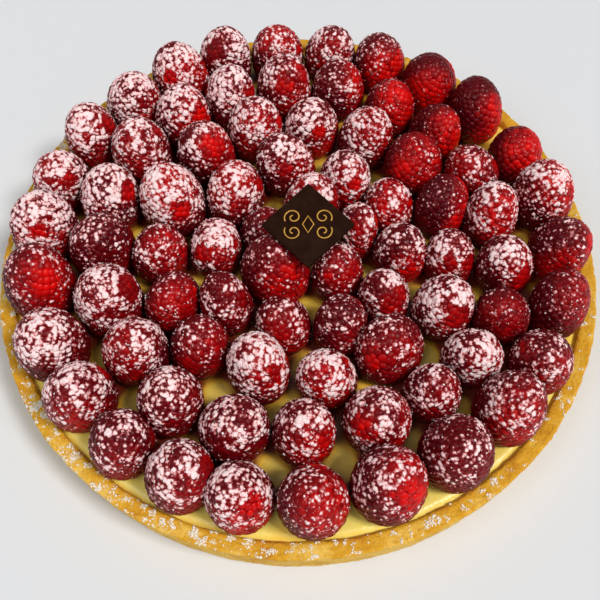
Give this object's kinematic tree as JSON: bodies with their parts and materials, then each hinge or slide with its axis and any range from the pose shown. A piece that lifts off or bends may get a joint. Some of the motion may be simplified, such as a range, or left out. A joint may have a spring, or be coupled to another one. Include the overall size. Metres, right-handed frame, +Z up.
{
  "type": "raspberry tart",
  "caption": "Round family tart: a low golden pastry case filled with custard, covered with rings of sugar-dusted raspberries and topped with a small dark chocolate plaque.",
  "frame": {"origin": "centre of the flat underside", "axes": "+Z up out of the tart; -Y is the front, the side the picture was taken from; +X to its right"},
  "size_m": [0.24, 0.24, 0.0529],
  "materials": {
    "pastry": "dry baked sweet pastry, golden yellow, dusted with icing sugar",
    "custard": "soft pale yellow custard with a satin skin",
    "fruit": "moist deep red raspberries dusted with icing sugar",
    "chocolate": "smooth dark chocolate with a plain gold ornament"
  },
  "bodies": {
    "root": {"berries_fourth_07_inner_03": "fruit", "berries_fourth_08_inner_04": "fruit", "berries_inner_01_inner_05": "fruit", "berries_outer_02_outer_03": "fruit", "berries_outer_04_second_04": "fruit", "berries_outer_05_outer_06": "fruit", "berries_outer_08_second_07": "fruit", "berries_outer_15_second_13": "fruit", "berries_outer_19_second_16": "fruit", "berries_outer_20_second_17": "fruit", "berries_outer_21_outer_22": "fruit", "berries_second_01_second_21": "fruit", "berries_second_02_second_03": "fruit", "berries_second_12_third_09": "fruit", "berries_second_14_third_10": "fruit", "berries_second_15_third_11": "fruit", "berries_second_18_third_13": "fruit", "berries_second_19_third_14": "fruit", "berries_third_03_fourth_02": "fruit", "berries_third_04_fourth_03": "fruit", "berries_third_06_fourth_04": "fruit", "berries_third_08_fourth_06": "fruit", "berry_fourth_01": "fruit", "berry_fourth_05": "fruit", "berry_fourth_09": "fruit", "berry_fourth_10": "fruit", "berry_inner_02": "fruit", "berry_outer_01": "fruit", "berry_outer_07": "fruit", "berry_outer_09": "fruit", "berry_outer_10": "fruit", "berry_outer_11": "fruit", "berry_outer_12": "fruit", "berry_outer_13": "fruit", "berry_outer_14": "fruit", "berry_outer_16": "fruit", "berry_outer_17": "fruit", "berry_outer_18": "fruit", "berry_outer_23": "fruit", "berry_outer_24": "fruit", "berry_outer_25": "fruit", "berry_outer_26": "fruit", "berry_second_05": "fruit", "berry_second_06": "fruit", "berry_second_08": "fruit", "berry_second_09": "fruit", "berry_second_10": "fruit", "berry_second_11": "fruit", "berry_second_20": "fruit", "berry_third_01": "fruit", "berry_third_02": "fruit", "berry_third_05": "fruit", "berry_third_07": "fruit", "berry_third_12": "fruit", "berry_third_15": "fruit", "crust": "pastry", "custard": "custard", "plaque": "chocolate"}
  },
  "joints": []
}
